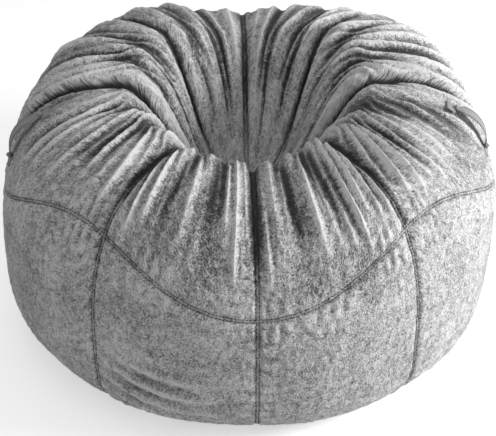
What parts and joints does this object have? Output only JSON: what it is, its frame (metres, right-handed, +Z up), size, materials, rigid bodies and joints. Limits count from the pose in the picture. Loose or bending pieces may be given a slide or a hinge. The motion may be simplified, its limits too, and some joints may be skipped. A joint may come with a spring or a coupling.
{
  "type": "bean bag chair",
  "caption": "Round plush bean bag chair with a deep seat hollow, gored top, side panels, carry straps and a zipped base over a foam-filled liner.",
  "frame": {"origin": "centre of the bag on the floor, under the middle of its bounding box", "axes": "+Z up, front of the seat toward -Y, +X to the right as seen from the front"},
  "size_m": [1.582, 1.5826, 0.8374],
  "materials": {
    "plush": "short mottled grey pile",
    "base_cloth": "plain woven",
    "liner_cloth": "thin woven",
    "foam": "shredded foam",
    "zip_tape": "woven tape",
    "zip_coil": "nylon",
    "zip_metal": "plated",
    "webbing": "plush-faced strap"
  },
  "bodies": {
    "bag": {"base_panel_back": "base_cloth", "base_panel_front": "base_cloth", "cover_zip_coil_back": "zip_coil", "cover_zip_coil_front": "zip_coil", "cover_zip_stops": "zip_coil", "cover_zip_tape_back": "zip_tape", "cover_zip_tape_front": "zip_tape", "foam_fill": "foam", "handle_anchors_left": "webbing", "handle_anchors_right": "webbing", "liner_base_back": "liner_cloth", "liner_base_front": "liner_cloth", "liner_panel_back_left": "liner_cloth", "liner_panel_back_right": "liner_cloth", "liner_panel_front_left": "liner_cloth", "liner_panel_front_right": "liner_cloth", "liner_panel_left_back": "liner_cloth", "liner_panel_left_front": "liner_cloth", "liner_panel_right_back": "liner_cloth", "liner_panel_right_front": "liner_cloth", "liner_seat_patch": "liner_cloth", "liner_zip_coil_back": "zip_coil", "liner_zip_coil_front": "zip_coil", "liner_zip_stops": "zip_coil", "liner_zip_tape_back": "zip_tape", "liner_zip_tape_front": "zip_tape", "seat_patch": "plush", "side_panel_back_left": "plush", "side_panel_back_right": "plush", "side_panel_front_left": "plush", "side_panel_front_right": "plush", "side_panel_left_back": "plush", "side_panel_left_front": "plush", "side_panel_right_back": "plush", "side_panel_right_front": "plush", "top_gore_back_left": "plush", "top_gore_back_right": "plush", "top_gore_front_left": "plush", "top_gore_front_right": "plush", "top_gore_left_back": "plush", "top_gore_left_front": "plush", "top_gore_right_back": "plush", "top_gore_right_front": "plush"},
    "cover_slider": {"cover_zip_slider": "zip_metal"},
    "cover_pull": {"cover_zip_pull": "zip_metal"},
    "liner_slider": {"liner_zip_slider": "zip_metal"},
    "right_strap": {"carry_strap_right": "webbing"},
    "left_strap": {"carry_strap_left": "webbing"}
  },
  "joints": [
    {"name": "cover_zip_slide", "type": "slide", "parent": "bag", "child": "cover_slider", "axis": [-1, 0, 0], "range_m": [0, 0.93]},
    {"name": "cover_pull_hinge", "type": "hinge", "parent": "cover_slider", "child": "cover_pull", "pos_m": [0.47, 0, 0.0028], "axis": [0, -1, 0], "range_deg": [0, 140]},
    {"name": "liner_zip_slide", "type": "slide", "parent": "bag", "child": "liner_slider", "axis": [-1, 0, 0], "range_m": [0, 0.94]},
    {"name": "right_strap_swing", "type": "hinge", "parent": "bag", "child": "right_strap", "pos_m": [0.6868, -0.10878, 0.66825], "axis": [0.6311, -0.1, -0.7692], "range_deg": [-20, 20], "stiffness_Nm_per_rad": 0.02},
    {"name": "left_strap_swing", "type": "hinge", "parent": "bag", "child": "left_strap", "pos_m": [-0.6868, -0.10878, 0.66825], "axis": [-0.6311, -0.1, -0.7692], "range_deg": [-20, 20], "stiffness_Nm_per_rad": 0.02}
  ]
}
